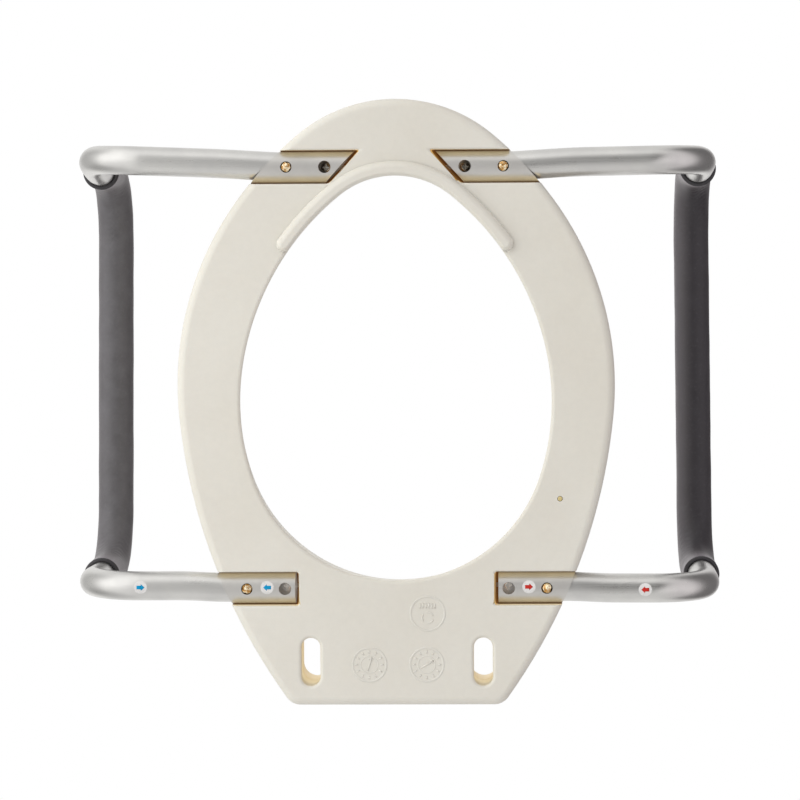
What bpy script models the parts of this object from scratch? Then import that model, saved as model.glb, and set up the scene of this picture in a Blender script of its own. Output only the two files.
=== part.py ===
"""Raised toilet seat: a hollow moulded riser for an elongated bowl, with two plug-in arm handles.

The riser lies base down. +Z is up, -Y is the front of the bowl and +Y the hinge end.
"""

import math

import bmesh
import bpy

# ---- driving dimensions, in metres ----
RIB_DROP = 0.007
RISE = 0.089
BASE_Z = RIB_DROP
TOP_Z = BASE_Z + RISE
WALL = 0.004

# The outline is a chain of tangent arcs from the front tip (heading 0, along +X) to the rear.
OUTLINE_TIP_Y = -0.2456
OUTLINE_RADII = (0.1231, 0.2945, 0.2543, 0.4725, 0.014)
OUTLINE_HEADINGS = (40.0, 55.6, 95.7)
OUTLINE_STEPS = (9, 3, 8, 6, 4)
REAR_EDGE_Y = 0.2455
BASE_FILLET = 0.007
TOP_FILLET = 0.010

# The hole is a second chain, closed on the rear centreline; its wall leans out going up.
HOLE_TIP_Y = -0.1834
HOLE_RADII = (0.0712, 0.2195, 0.1925)
HOLE_HEADINGS = (38.9, 81.2, 109.2)
HOLE_STEPS = (8, 7, 5, 9)
HOLE_LIP = 0.003
HOLE_DRAFT = 0.0083

# Locating rib under the front of the hole.
RIB_WIDTH = 0.012
RIB_END_Y = -0.1285
RIB_ROUND = 0.0025

# Bolt slots at the toilet's hinge holes, wider toward the seat side.
BOLT_SPACING = 0.1397
SLOT_Y = 0.210
SLOT_WIDTH = 0.0150
SLOT_LENGTH = 0.0385
SLOT_FLARE = 0.004
SLOT_MOUTH = 0.0015

# Arm sleeves, in channels open at the base and at the rim.
ARM_Z = BASE_Z + 0.014
FRONT_Y = -0.1908
REAR_Y = 0.1507
SLEEVE_R = 0.0132
SLEEVE_BORE_R = 0.0124
CHANNEL_R = 0.0136
FRONT_CHANNEL_IN = 0.0421
FRONT_CHANNEL_SLANT = 0.92
REAR_CHANNEL_IN = 0.0805
SLEEVE_END_GAP = 0.0018
RIM_GAP = 0.0004

# Holes in the sleeves.
FRONT_BUTTON_X = 0.0878
REAR_BUTTON_X = 0.1215
FRONT_SCREW_X = 0.0567
REAR_SCREW_X = 0.0906
ACCESS_R = 0.0050
BUTTON_HOLE_R = 0.0046
SCREW_HOLE_R = 0.0022

# Arm handles.
TUBE_R = 0.0118
TUBE_BORE_R = 0.0106
TUBE_SIDES = 16
TUBE_PAST_BUTTON = 0.0158
FRONT_LEG_X = 0.2512
REAR_LEG_X = 0.2530
GRIP_Z = ARM_Z + 0.180
LOW_BEND_R = 0.045
TOP_BEND_R = 0.055
FOAM_R = 0.0155
FOAM_BORE_R = 0.0121
FOAM_START_Z = ARM_Z + 0.085

# Past its sleeve each arm steps and slants a little toward the front (rear right: toward the
# rear); the lean fades out going up the leg, below the foam.
LEAN_START_X = {"front": 0.084, "rear": 0.138}
LEAN_RUN = {"front": 0.070, "rear": 0.040}
LEAN_STEP = {"front_left": 0.0012, "front_right": 0.0021, "rear_left": 0.0014, "rear_right": -0.0012}
LEAN_SLOPE = {"front_left": 0.039, "front_right": 0.0175, "rear_left": 0.0, "rear_right": -0.005}
LEAN_FULL_Z = 0.040
LEAN_END_Z = ARM_Z + 0.083

# Snap buttons and their leaf springs.
BUTTON_R = 0.0042
BUTTON_TIP_Z = ARM_Z - SLEEVE_R - 0.0010
BUTTON_FLANGE_R = 0.0051
BUTTON_FLANGE_Z = 0.0130
BUTTON_TOP_Z = 0.0140
SPRING_WIDTH = 0.007
SPRING_THICK = 0.0006
SPRING_LOW_Z = 0.0147
SPRING_HIGH_Z = 0.0294

# Sleeve screws, stickers and the blow-pin plug.
SCREW_HEAD_R = 0.0040
SCREW_HEAD_Z = 0.0301
SCREW_SEAT_Z = 0.0321
SCREW_SHANK_R = 0.0019
SCREW_TIP_Z = 0.0469
STICKER_R = 0.00535
STICKER_GAP = 0.00025
STICKER_THICK = 0.0003
SLEEVE_STICKER_X = {"left": 0.1050, "right": 0.1070}
SLEEVE_STICKER_Y = REAR_Y - 0.0012
TUBE_STICKER_X = {"left": 0.2080, "right": 0.2010}
PLUG_X = 0.1324
PLUG_Y = 0.0782
PLUG_HOLE_R = 0.0022
PLUG_R = 0.0019

SIDES = 32
SIDE_SIGNS = (("left", -1), ("right", 1))
ENDS = (
    ("front", FRONT_Y, FRONT_BUTTON_X, FRONT_SCREW_X),
    ("rear", REAR_Y, REAR_BUTTON_X, REAR_SCREW_X),
)


# ---- scene helpers ----
def clear_scene():
    for obj in list(bpy.data.objects):
        bpy.data.objects.remove(obj, do_unlink=True)


def make_collection(name):
    collection = bpy.data.collections.new(name)
    bpy.context.scene.collection.children.link(collection)
    return collection


def make_material(name, colour, roughness, metallic=0.0):
    material = bpy.data.materials.new(name)
    material.use_nodes = True
    shader = material.node_tree.nodes["Principled BSDF"]
    shader.inputs["Base Color"].default_value = (*colour, 1.0)
    shader.inputs["Roughness"].default_value = roughness
    shader.inputs["Metallic"].default_value = metallic
    return material


def as_cutter(obj):
    obj.hide_render = True
    obj.display_type = "WIRE"
    return obj


def add_mesh(name, mesh, collection, material=None, smooth=False):
    obj = bpy.data.objects.new(name, mesh)
    collection.objects.link(obj)
    if material is not None:
        mesh.materials.append(material)
        mesh.polygons.foreach_set("use_smooth", [smooth] * len(mesh.polygons))
    return obj


def boolean(target, tool, operation="DIFFERENCE"):
    modifier = target.modifiers.new(operation.title(), "BOOLEAN")
    modifier.operation = operation
    modifier.solver = "EXACT"
    modifier.object = tool


# ---- shapes ----
def loft(name, rings, collection, material=None):
    """A closed body through rings of equal length, each a list of points, capped at both ends."""
    bm = bmesh.new()
    rows = [[bm.verts.new(point) for point in ring] for ring in rings]
    count = len(rows[0])
    for lower, upper in zip(rows, rows[1:]):
        for i in range(count):
            j = (i + 1) % count
            bm.faces.new((lower[i], lower[j], upper[j], upper[i]))
    bm.faces.new(list(reversed(rows[0])))
    bm.faces.new(rows[-1])
    bmesh.ops.recalc_face_normals(bm, faces=bm.faces)
    mesh = bpy.data.meshes.new(name)
    bm.to_mesh(mesh)
    bm.free()
    return add_mesh(name, mesh, collection, material)


def cylinder(name, radius, start, end, sides, collection):
    """A cylinder between two points on a line along X or Z."""
    length = math.dist(start, end)
    bm = bmesh.new()
    bmesh.ops.create_cone(
        bm, cap_ends=True, segments=sides, radius1=radius, radius2=radius, depth=length
    )
    mesh = bpy.data.meshes.new(name)
    bm.to_mesh(mesh)
    bm.free()
    obj = add_mesh(name, mesh, collection)
    obj.location = [(a + b) / 2 for a, b in zip(start, end)]
    if abs(end[0] - start[0]) > abs(end[2] - start[2]):
        obj.rotation_euler = (0.0, math.pi / 2, 0.0)
    return obj


def turned(name, profile, centre, collection, material, steps):
    """A solid of revolution about Z; the profile runs down its outer side from top to bottom."""
    mesh = bpy.data.meshes.new(name)
    points = [(radius, 0.0, height) for radius, height in profile]
    mesh.from_pydata(points, [(i, i + 1) for i in range(len(points) - 1)], [])
    obj = add_mesh(name, mesh, collection, material, smooth=True)
    obj.location = (centre[0], centre[1], 0.0)
    screw = obj.modifiers.new("Turn", "SCREW")
    screw.axis = "Z"
    screw.steps = steps
    screw.render_steps = steps
    screw.use_merge_vertices = True
    screw.merge_threshold = 0.00005
    return obj


def tube_mesh(name, points, radius, sides):
    """A round bar with filled ends along a polyline, as a mesh."""
    curve = bpy.data.curves.new(name, "CURVE")
    curve.dimensions = "3D"
    curve.bevel_depth = radius
    curve.bevel_resolution = sides // 2 - 2
    curve.use_fill_caps = True
    curve.twist_mode = "MINIMUM"
    spline = curve.splines.new("POLY")
    spline.points.add(len(points) - 1)
    for handle, point in zip(spline.points, points):
        handle.co = (*point, 1.0)
    carrier = bpy.data.objects.new(name + "_path", curve)
    mesh = bpy.data.meshes.new_from_object(carrier)
    bpy.data.objects.remove(carrier, do_unlink=True)
    bm = bmesh.new()
    bm.from_mesh(mesh)
    bmesh.ops.remove_doubles(bm, verts=bm.verts, dist=0.00001)
    bmesh.ops.recalc_face_normals(bm, faces=bm.faces)
    bm.to_mesh(mesh)
    bm.free()
    return mesh


# ---- outlines: chains of tangent arcs ----
def arc_chain(tip_y, radii, headings):
    """Centre, radius and heading span of each arc, starting at (0, tip_y) heading along +X."""
    arcs = []
    x, y, start = 0.0, tip_y, 0.0
    for radius, end in zip(radii, headings):
        centre = (x - radius * math.sin(start), y + radius * math.cos(start))
        arcs.append((centre, radius, start, end))
        x = centre[0] + radius * math.sin(end)
        y = centre[1] - radius * math.cos(end)
        start = end
    return arcs


def arc_point(arc, heading, grow=0.0):
    centre, radius, _, _ = arc
    reach = radius + grow
    return centre[0] + reach * math.sin(heading), centre[1] - reach * math.cos(heading)


def outline_arcs():
    headings = [math.radians(h) for h in OUTLINE_HEADINGS]
    side = arc_chain(OUTLINE_TIP_Y, OUTLINE_RADII, headings)
    side_r, corner_r = OUTLINE_RADII[3], OUTLINE_RADII[4]
    _, y = arc_point(side[-1], headings[-1])
    flank_y = y + side_r * math.cos(headings[-1])
    turn = math.acos((flank_y + corner_r - REAR_EDGE_Y) / (side_r - corner_r))
    return arc_chain(OUTLINE_TIP_Y, OUTLINE_RADII, headings + [turn, math.pi])


def hole_arcs():
    headings = [math.radians(h) for h in HOLE_HEADINGS]
    front = arc_chain(HOLE_TIP_Y, HOLE_RADII, headings)
    x, _ = arc_point(front[-1], headings[-1])
    rear_r = x / math.sin(headings[-1])
    return arc_chain(HOLE_TIP_Y, HOLE_RADII + (rear_r,), headings + [math.pi])


def half_points(arcs, steps, grow):
    points = [arc_point(arcs[0], 0.0, grow)]
    for arc, count in zip(arcs, steps):
        start, end = arc[2], arc[3]
        for i in range(1, count + 1):
            points.append(arc_point(arc, start + (end - start) * i / count, grow))
    return points


def closed_outline(arcs, steps, grow=0.0):
    """The whole outline: the +X half from the front tip to the rear, then its mirror image."""
    half = half_points(arcs, steps, grow)
    if half[-1][0] > 0.001:
        half.append((0.0, half[-1][1]))
    mirrored = [(-x, y) for x, y in half[-2:0:-1]]
    return half + mirrored


def ring(outline, z):
    return [(x, y, z) for x, y in outline]


def fillet_steps(radius, count):
    """Inset and height of points round a quarter circle, from the flat face to the wall."""
    steps = []
    for i in range(count + 1):
        angle = math.pi / 2 * i / count
        steps.append((radius * (1.0 - math.sin(angle)), radius * (1.0 - math.cos(angle))))
    return steps


# ---- riser ----
def outer_body(name, collection, material, inset=0.0, base_r=BASE_FILLET, top_r=TOP_FILLET):
    arcs = outline_arcs()
    rings = []
    for shrink, height in fillet_steps(base_r, 3):
        rings.append(ring(closed_outline(arcs, OUTLINE_STEPS, -inset - shrink), BASE_Z + inset + height))
    for shrink, height in reversed(fillet_steps(top_r, 4)):
        rings.append(ring(closed_outline(arcs, OUTLINE_STEPS, -inset - shrink), TOP_Z - inset - height))
    return loft(name, rings, collection, material)


def hole_body(name, collection, grow=0.0, lip=HOLE_LIP, past=0.004):
    """The hole as a solid, with flared lips at both faces and a wall leaning out going up."""
    arcs = hole_arcs()
    rings = []
    for flare, height in [(lip, -past)] + fillet_steps(lip, 3):
        rings.append(ring(closed_outline(arcs, HOLE_STEPS, grow + flare), BASE_Z + height))
    for flare, height in list(reversed(fillet_steps(lip, 3))) + [(lip, -past)]:
        outline = closed_outline(arcs, HOLE_STEPS, grow + HOLE_DRAFT + flare)
        rings.append(ring(outline, TOP_Z - height))
    return loft(name, rings, collection)


def rib_outline(inset):
    """The rib's plan: a band outside the hole's front edge with half-round ends."""
    arcs = hole_arcs()
    half_width = RIB_WIDTH / 2
    side = arcs[1]
    end = math.acos((side[0][1] - RIB_END_Y) / (side[1] + half_width))
    nose_end = arcs[0][3]
    headings = [nose_end * i / 8 for i in range(9)]
    headings += [nose_end + (end - nose_end) * i / 6 for i in range(1, 7)]

    def edge(grow):
        return [arc_point(arcs[0] if h <= nose_end else side, h, grow) for h in headings]

    outer = edge(RIB_WIDTH - inset)
    inner = edge(inset)
    cap_x, cap_y = arc_point(side, end, half_width)
    reach = half_width - inset
    cap = []
    for i in range(1, 6):
        angle = end + math.pi * i / 6
        cap.append((cap_x + reach * math.sin(angle), cap_y - reach * math.cos(angle)))
    right = outer + cap + list(reversed(inner))
    left_side = [(-x, y) for x, y in reversed(right)]
    return right[:-1] + left_side[:-1]


def rib_body(name, collection):
    levels = [(0.0, BASE_Z + 0.0035), (0.0, RIB_ROUND)]
    levels += [(shrink, height) for shrink, height in reversed(fillet_steps(RIB_ROUND, 3))][1:]
    return loft(name, [ring(rib_outline(inset), z) for inset, z in levels], collection)


def channel_end(end_name, y, grow=0.0):
    """Distance from the centreline to the channel's inner end at this y."""
    if end_name == "rear":
        return REAR_CHANNEL_IN - grow
    slant = FRONT_CHANNEL_SLANT
    return FRONT_CHANNEL_IN + slant * (y - FRONT_Y) - grow * math.hypot(1.0, slant)


def channel_body(name, sign, end_name, y, collection, grow=0.0):
    """A channel with a half-round roof, open below and past the rim."""
    reach = CHANNEL_R + grow
    section = [(-reach, BASE_Z - 0.004 - grow), (-reach, ARM_Z)]
    for i in range(1, 12):
        angle = math.pi * i / 12
        section.append((-reach * math.cos(angle), ARM_Z + reach * math.sin(angle)))
    section += [(reach, ARM_Z), (reach, BASE_Z - 0.004 - grow)]
    near = [(sign * channel_end(end_name, y + side, grow), y + side, z) for side, z in section]
    far = [(sign * 0.215, y + side, z) for side, z in section]
    return loft(name, [near, far], collection)


def slot_ring(x, grow, z):
    reach = SLOT_WIDTH / 2 + grow
    straight = (SLOT_LENGTH - SLOT_WIDTH) / 2
    points = []
    for i in range(9):
        angle = math.pi * i / 8
        points.append((x + reach * math.cos(angle), SLOT_Y + straight + reach * math.sin(angle), z))
    for i in range(9):
        angle = math.pi + math.pi * i / 8
        points.append((x + reach * math.cos(angle), SLOT_Y - straight + reach * math.sin(angle), z))
    return points


def slot_body(name, x, collection, grow=0.0):
    """A bolt slot through both faces, widening upward, with flared mouths."""
    top = SLOT_FLARE
    levels = [(SLOT_MOUTH, BASE_Z - 0.004), (SLOT_MOUTH, BASE_Z), (0.0, BASE_Z + SLOT_MOUTH)]
    levels += [(top, TOP_Z - SLOT_MOUTH), (top + SLOT_MOUTH, TOP_Z), (top + SLOT_MOUTH, TOP_Z + 0.004)]
    return loft(name, [slot_ring(x, grow + flare, z) for flare, z in levels], collection)


def build_riser(parts, tools, plastic):
    shell = outer_body("seat_riser_shell", parts, plastic)
    hole = as_cutter(hole_body("hole_tool", tools))
    rib = as_cutter(rib_body("rib_tool", tools))
    hollow = as_cutter(
        outer_body("hollow_tool", tools, None, inset=WALL, base_r=0.004, top_r=0.006)
    )
    boolean(hollow, as_cutter(hole_body("hole_wall_tool", tools, grow=WALL)))
    boolean(shell, hole)
    boolean(shell, rib, "UNION")
    for side, sign in SIDE_SIGNS:
        for end_name, y, _, _ in ENDS:
            label = f"{end_name}_{side}"
            channel = channel_body(f"{label}_channel_tool", sign, end_name, y, tools)
            boolean(shell, as_cutter(channel))
            wall = channel_body(f"{label}_channel_wall_tool", sign, end_name, y, tools, grow=WALL)
            boolean(hollow, as_cutter(wall))
        slot_x = sign * BOLT_SPACING / 2
        boolean(shell, as_cutter(slot_body(f"{side}_slot_tool", slot_x, tools)))
        boolean(hollow, as_cutter(slot_body(f"{side}_slot_wall_tool", slot_x, tools, grow=WALL)))
    boolean(shell, hollow)
    for side, sign in SIDE_SIGNS:
        for end_name, y, _, screw_x in ENDS:
            start = (sign * screw_x, y, ARM_Z)
            end = (sign * screw_x, y, 0.045)
            name = f"{end_name}_{side}_screw_hole_tool"
            boolean(shell, as_cutter(cylinder(name, SCREW_HOLE_R, start, end, 16, tools)))
    pin_start = (PLUG_X, PLUG_Y, BASE_Z - 0.003)
    pin_end = (PLUG_X, PLUG_Y, BASE_Z + WALL + 0.003)
    pin = cylinder("blow_pin_tool", PLUG_HOLE_R, pin_start, pin_end, 16, tools)
    boolean(shell, as_cutter(pin))


def build_plug(parts, plastic):
    profile = [(0.0, BASE_Z + 0.0040), (PLUG_R, BASE_Z + 0.0038), (PLUG_R, BASE_Z + 0.0003)]
    profile += [(PLUG_R * 0.6, BASE_Z - 0.0001), (0.0, BASE_Z - 0.0002)]
    turned("blow_pin_plug", profile, (PLUG_X, PLUG_Y), parts, plastic, 16)


# ---- sleeves and what is fixed to them ----
def build_sleeve(parts, tools, aluminium, rim, label, sign, end_name, y, button_x, screw_x):
    """A length of tube cut to the channel's end inside and to the riser's rim outside."""
    name = f"{label}_sleeve"
    near, far = [], []
    for i in range(SIDES):
        angle = 2 * math.pi * (i + 0.5) / SIDES
        side_y = y + SLEEVE_R * math.cos(angle)
        z = ARM_Z + SLEEVE_R * math.sin(angle)
        near.append((sign * channel_end(end_name, side_y, -SLEEVE_END_GAP), side_y, z))
        far.append((sign * 0.180, side_y, z))
    sleeve = loft(name, [near, far], parts, aluminium)
    bore_ends = ((sign * 0.015, y, ARM_Z), (sign * 0.190, y, ARM_Z))
    boolean(sleeve, as_cutter(cylinder(f"{name}_bore_tool", SLEEVE_BORE_R, *bore_ends, SIDES, tools)))
    boolean(sleeve, rim, "INTERSECT")
    for use, x, radius, low, high in (
        ("access", screw_x, ACCESS_R, ARM_Z - 0.020, ARM_Z),
        ("button", button_x, BUTTON_HOLE_R, ARM_Z - 0.020, ARM_Z),
        ("screw", screw_x, SCREW_HOLE_R, ARM_Z, ARM_Z + 0.020),
    ):
        ends = ((sign * x, y, low), (sign * x, y, high))
        boolean(sleeve, as_cutter(cylinder(f"{name}_{use}_tool", radius, *ends, 20, tools)))


def build_screw(parts, steel, label, x, y):
    """A pan-head screw seated under the sleeve's roof, its tip inside the riser."""
    profile = [(0.0, SCREW_TIP_Z), (0.0006, SCREW_TIP_Z - 0.0004)]
    profile += [(SCREW_SHANK_R, SCREW_TIP_Z - 0.0030), (SCREW_SHANK_R, SCREW_SEAT_Z)]
    profile += [(SCREW_HEAD_R, SCREW_SEAT_Z), (SCREW_HEAD_R, SCREW_HEAD_Z + 0.0008)]
    profile += [(SCREW_HEAD_R * 0.7, SCREW_HEAD_Z), (0.0, SCREW_HEAD_Z)]
    turned(f"{label}_sleeve_screw", profile, (x, y), parts, steel, 12)


def build_sticker(parts, tools, paper, name, x, tube_y, y, tube_r):
    """A thin round sticker wrapped on the underside of a tube along X, centred at y."""
    ends = ((x - 0.008, tube_y, ARM_Z), (x + 0.008, tube_y, ARM_Z))
    outer_r = tube_r + STICKER_GAP + STICKER_THICK
    sticker = cylinder(name, outer_r, *ends, SIDES, parts)
    sticker.data.materials.append(paper)
    inner = cylinder(f"{name}_inner_tool", tube_r + STICKER_GAP, *ends, SIDES, tools)
    boolean(sticker, as_cutter(inner))
    edge_ends = ((x, y, ARM_Z - 0.020), (x, y, ARM_Z - 0.004))
    edge = cylinder(f"{name}_edge_tool", STICKER_R, *edge_ends, 24, tools)
    boolean(sticker, as_cutter(edge), "INTERSECT")


# ---- arm handles ----
def bend(centre, start, end, radius, steps):
    """Points round a quarter bend from direction `start` to direction `end`, seen from the centre."""
    points = []
    for i in range(steps + 1):
        angle = math.pi / 2 * i / steps
        mix = [s * math.cos(angle) + e * math.sin(angle) for s, e in zip(start, end)]
        points.append(tuple(c + radius * m for c, m in zip(centre, mix)))
    return points


def smoothstep(value, low, high):
    share = min(1.0, max(0.0, (value - low) / (high - low)))
    return share * share * (3.0 - 2.0 * share)


def leaned(point):
    """The point moved by the lean of its arm."""
    x, y, z = point
    end_name = "front" if y < 0 else "rear"
    arm = end_name + ("_left" if x < 0 else "_right")
    start = LEAN_START_X[end_name]
    step = LEAN_STEP[arm] * smoothstep(abs(x), start, start + LEAN_RUN[end_name])
    slope = LEAN_SLOPE[arm] * max(0.0, abs(x) - start)
    share = 1.0 - smoothstep(z, LEAN_FULL_Z, LEAN_END_Z)
    return x, y - (step + slope) * share, z


def arm_points(sign, inner_x, y, outer_x):
    """The straight part of an arm from its inner end outward, with extra points over the lean."""
    end_name = "front" if y < 0 else "rear"
    start, run = LEAN_START_X[end_name], LEAN_RUN[end_name]
    reaches = [inner_x] + [start + run * i / 4 for i in range(5)] + [outer_x]
    return [(sign * reach, y, ARM_Z) for reach in reaches]


def handle_path(sign, front_in, rear_in, steps=6):
    """Centreline from the front inner end, out, up, back over the grip, down and in again."""
    front_leg, rear_leg = sign * FRONT_LEG_X, sign * REAR_LEG_X
    front_low = sign * (FRONT_LEG_X - LOW_BEND_R)
    rear_low = sign * (REAR_LEG_X - LOW_BEND_R)
    low_z = ARM_Z + LOW_BEND_R
    top_z = GRIP_Z - TOP_BEND_R
    out, up, down = (sign, 0.0, 0.0), (0.0, 0.0, 1.0), (0.0, 0.0, -1.0)
    front, rear = (0.0, -1.0, 0.0), (0.0, 1.0, 0.0)
    points = arm_points(sign, front_in, FRONT_Y, abs(front_low))[:-1]
    points += bend((front_low, FRONT_Y, low_z), down, out, LOW_BEND_R, steps)
    points += [(front_leg, FRONT_Y, LEAN_END_Z - 0.012), (front_leg, FRONT_Y, LEAN_END_Z)]
    points += bend((front_leg, FRONT_Y + TOP_BEND_R, top_z), front, up, TOP_BEND_R, steps)
    points += bend((rear_leg, REAR_Y - TOP_BEND_R, top_z), up, rear, TOP_BEND_R, steps)
    points += [(rear_leg, REAR_Y, LEAN_END_Z), (rear_leg, REAR_Y, LEAN_END_Z - 0.012)]
    points += bend((rear_low, REAR_Y, low_z), out, down, LOW_BEND_R, steps)
    points += list(reversed(arm_points(sign, rear_in, REAR_Y, abs(rear_low))))[1:]
    return [leaned(point) for point in points]


def grip_path(sign, start_z, steps=6):
    front_leg, rear_leg = sign * FRONT_LEG_X, sign * REAR_LEG_X
    top_z = GRIP_Z - TOP_BEND_R
    front, rear, up = (0.0, -1.0, 0.0), (0.0, 1.0, 0.0), (0.0, 0.0, 1.0)
    points = [(front_leg, FRONT_Y, start_z)]
    points += bend((front_leg, FRONT_Y + TOP_BEND_R, top_z), front, up, TOP_BEND_R, steps)
    points += bend((rear_leg, REAR_Y - TOP_BEND_R, top_z), up, rear, TOP_BEND_R, steps)
    points += [(rear_leg, REAR_Y, start_z)]
    return points


def build_handle(parts, tools, aluminium, foam, side, sign):
    front_in = FRONT_BUTTON_X - TUBE_PAST_BUTTON
    rear_in = REAR_BUTTON_X - TUBE_PAST_BUTTON
    name = f"{side}_handle_tube"
    path = handle_path(sign, front_in, rear_in)
    tube = add_mesh(name, tube_mesh(name, path, TUBE_R, TUBE_SIDES), parts, aluminium, smooth=True)
    bore_path = handle_path(sign, front_in - 0.005, rear_in - 0.005)
    bore_mesh = tube_mesh(f"{name}_bore", bore_path, TUBE_BORE_R, TUBE_SIDES)
    boolean(tube, as_cutter(add_mesh(f"{name}_bore_tool", bore_mesh, tools)))
    for end_name, y, button_x, _ in ENDS:
        ends = ((sign * button_x, y, ARM_Z - 0.020), (sign * button_x, y, ARM_Z))
        tool_name = f"{end_name}_{side}_tube_button_tool"
        boolean(tube, as_cutter(cylinder(tool_name, BUTTON_HOLE_R, *ends, 20, tools)))
    name = f"{side}_grip"
    grip_mesh = tube_mesh(name, grip_path(sign, FOAM_START_Z), FOAM_R, TUBE_SIDES)
    grip = add_mesh(name, grip_mesh, parts, foam, smooth=True)
    bore_mesh = tube_mesh(f"{name}_bore", grip_path(sign, FOAM_START_Z - 0.005), FOAM_BORE_R, TUBE_SIDES)
    boolean(grip, as_cutter(add_mesh(f"{name}_bore_tool", bore_mesh, tools)))


def build_button(parts, brass, label, x, y):
    """A domed pin with a flange that stays inside the tube."""
    profile = [(0.0, BUTTON_TOP_Z), (BUTTON_FLANGE_R, BUTTON_TOP_Z)]
    profile += [(BUTTON_FLANGE_R, BUTTON_FLANGE_Z), (BUTTON_R, BUTTON_FLANGE_Z)]
    dome_z = BUTTON_TIP_Z + 0.0024
    for i in range(5):
        angle = math.pi / 2 * i / 5
        profile.append((BUTTON_R * math.cos(angle), dome_z - 0.0024 * math.sin(angle)))
    profile.append((0.0, BUTTON_TIP_Z))
    turned(f"{label}_snap_button", profile, (x, y), parts, brass, 20)


def build_spring(parts, steel, label, sign, x, y):
    """A folded leaf: one arm under the tube's roof, the other behind the button."""
    bend_r = 0.0035
    fold_x = 0.028
    fold_z = (SPRING_LOW_Z + SPRING_HIGH_Z) / 2
    line = [(-0.004, SPRING_LOW_Z), (0.005, SPRING_LOW_Z)]
    for i in range(7):
        angle = -math.pi / 2 + math.pi * i / 6
        line.append((fold_x + bend_r * math.cos(angle), fold_z + bend_r * math.sin(angle)))
    line += [(-0.004, SPRING_HIGH_Z)]
    half = SPRING_WIDTH / 2
    verts = []
    for reach, z in line:
        verts.append((x + sign * reach, y - half, z))
        verts.append((x + sign * reach, y + half, z))
    faces = [(2 * i, 2 * i + 1, 2 * i + 3, 2 * i + 2) for i in range(len(line) - 1)]
    mesh = bpy.data.meshes.new(f"{label}_snap_spring")
    mesh.from_pydata(verts, [], faces)
    spring = add_mesh(f"{label}_snap_spring", mesh, parts, steel)
    sheet = spring.modifiers.new("Sheet", "SOLIDIFY")
    sheet.thickness = SPRING_THICK
    sheet.offset = 0.0
    sheet.use_even_offset = True


def build():
    clear_scene()
    parts = make_collection("raised_toilet_seat")
    tools = make_collection("raised_toilet_seat_tools")
    tools.hide_render = True
    plastic = make_material("ivory_plastic", (0.74, 0.72, 0.63), 0.42)
    plug_plastic = make_material("plug_plastic", (0.76, 0.70, 0.50), 0.45)
    sleeve_metal = make_material("sleeve_aluminium", (0.70, 0.70, 0.71), 0.34, 1.0)
    tube_metal = make_material("tube_aluminium", (0.74, 0.74, 0.75), 0.30, 1.0)
    foam = make_material("grip_foam", (0.055, 0.053, 0.057), 0.85)
    brass = make_material("button_brass", (0.78, 0.60, 0.28), 0.25, 1.0)
    steel = make_material("zinc_steel", (0.55, 0.55, 0.54), 0.38, 1.0)
    paper = make_material("sticker_vinyl", (0.88, 0.88, 0.87), 0.45)
    build_riser(parts, tools, plastic)
    build_plug(parts, plug_plastic)
    rim_outline = closed_outline(outline_arcs(), OUTLINE_STEPS, -RIM_GAP)
    rim = as_cutter(loft("rim_tool", [ring(rim_outline, -0.010), ring(rim_outline, 0.050)], tools))
    for side, sign in SIDE_SIGNS:
        for end_name, y, button_x, screw_x in ENDS:
            label = f"{end_name}_{side}"
            build_sleeve(parts, tools, sleeve_metal, rim, label, sign, end_name, y, button_x, screw_x)
            build_screw(parts, steel, label, sign * screw_x, y)
            build_button(parts, brass, label, sign * button_x, y)
            build_spring(parts, steel, label, sign, sign * button_x, y)
        build_handle(parts, tools, tube_metal, foam, side, sign)
        x = sign * SLEEVE_STICKER_X[side]
        name = f"{side}_sleeve_sticker"
        build_sticker(parts, tools, paper, name, x, REAR_Y, SLEEVE_STICKER_Y, SLEEVE_R)
        x, y, _ = leaned((sign * TUBE_STICKER_X[side], REAR_Y, ARM_Z))
        build_sticker(parts, tools, paper, f"{side}_tube_sticker", x, y, y, TUBE_R)


build()
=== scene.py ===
import math

import bmesh
import bpy
from mathutils import Matrix, Vector, noise


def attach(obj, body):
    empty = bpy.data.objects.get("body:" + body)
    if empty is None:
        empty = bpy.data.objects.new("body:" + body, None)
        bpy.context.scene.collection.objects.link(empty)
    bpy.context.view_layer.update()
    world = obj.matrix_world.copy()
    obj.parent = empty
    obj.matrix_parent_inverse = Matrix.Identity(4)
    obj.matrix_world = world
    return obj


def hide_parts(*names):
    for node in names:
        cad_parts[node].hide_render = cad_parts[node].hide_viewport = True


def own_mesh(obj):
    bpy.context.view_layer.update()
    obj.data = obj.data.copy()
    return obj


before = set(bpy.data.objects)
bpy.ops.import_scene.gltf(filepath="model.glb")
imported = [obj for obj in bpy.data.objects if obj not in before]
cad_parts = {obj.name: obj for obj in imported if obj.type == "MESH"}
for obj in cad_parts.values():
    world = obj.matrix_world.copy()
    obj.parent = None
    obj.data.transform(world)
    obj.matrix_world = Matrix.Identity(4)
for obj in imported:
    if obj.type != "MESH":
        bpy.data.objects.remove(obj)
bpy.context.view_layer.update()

# ---- sizes that the looks share with the solids, in metres ----
BASE_Z = 0.007
TOP_Z = 0.096
BASE_FILLET = 0.007
TOP_FILLET = 0.010
OUTLINE_TIP_Y = -0.2456
OUTLINE_RADII = (0.1231, 0.2945, 0.2543, 0.4725, 0.014)
OUTLINE_HEADINGS = (40.0, 55.6, 95.7)
OUTLINE_STEPS = (26, 10, 26, 20, 12)
REAR_EDGE_Y = 0.2455
HOLE_TIP_Y = -0.1834
HOLE_RADII = (0.0712, 0.2195, 0.1925)
HOLE_HEADINGS = (38.9, 81.2, 109.2)
HOLE_STEPS = (22, 24, 16, 34)
HOLE_LIP = 0.003
HOLE_DRAFT = 0.0083
RIB_WIDTH = 0.012
RIB_END_Y = -0.1285
BOLT_SPACING = 0.1397
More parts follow.
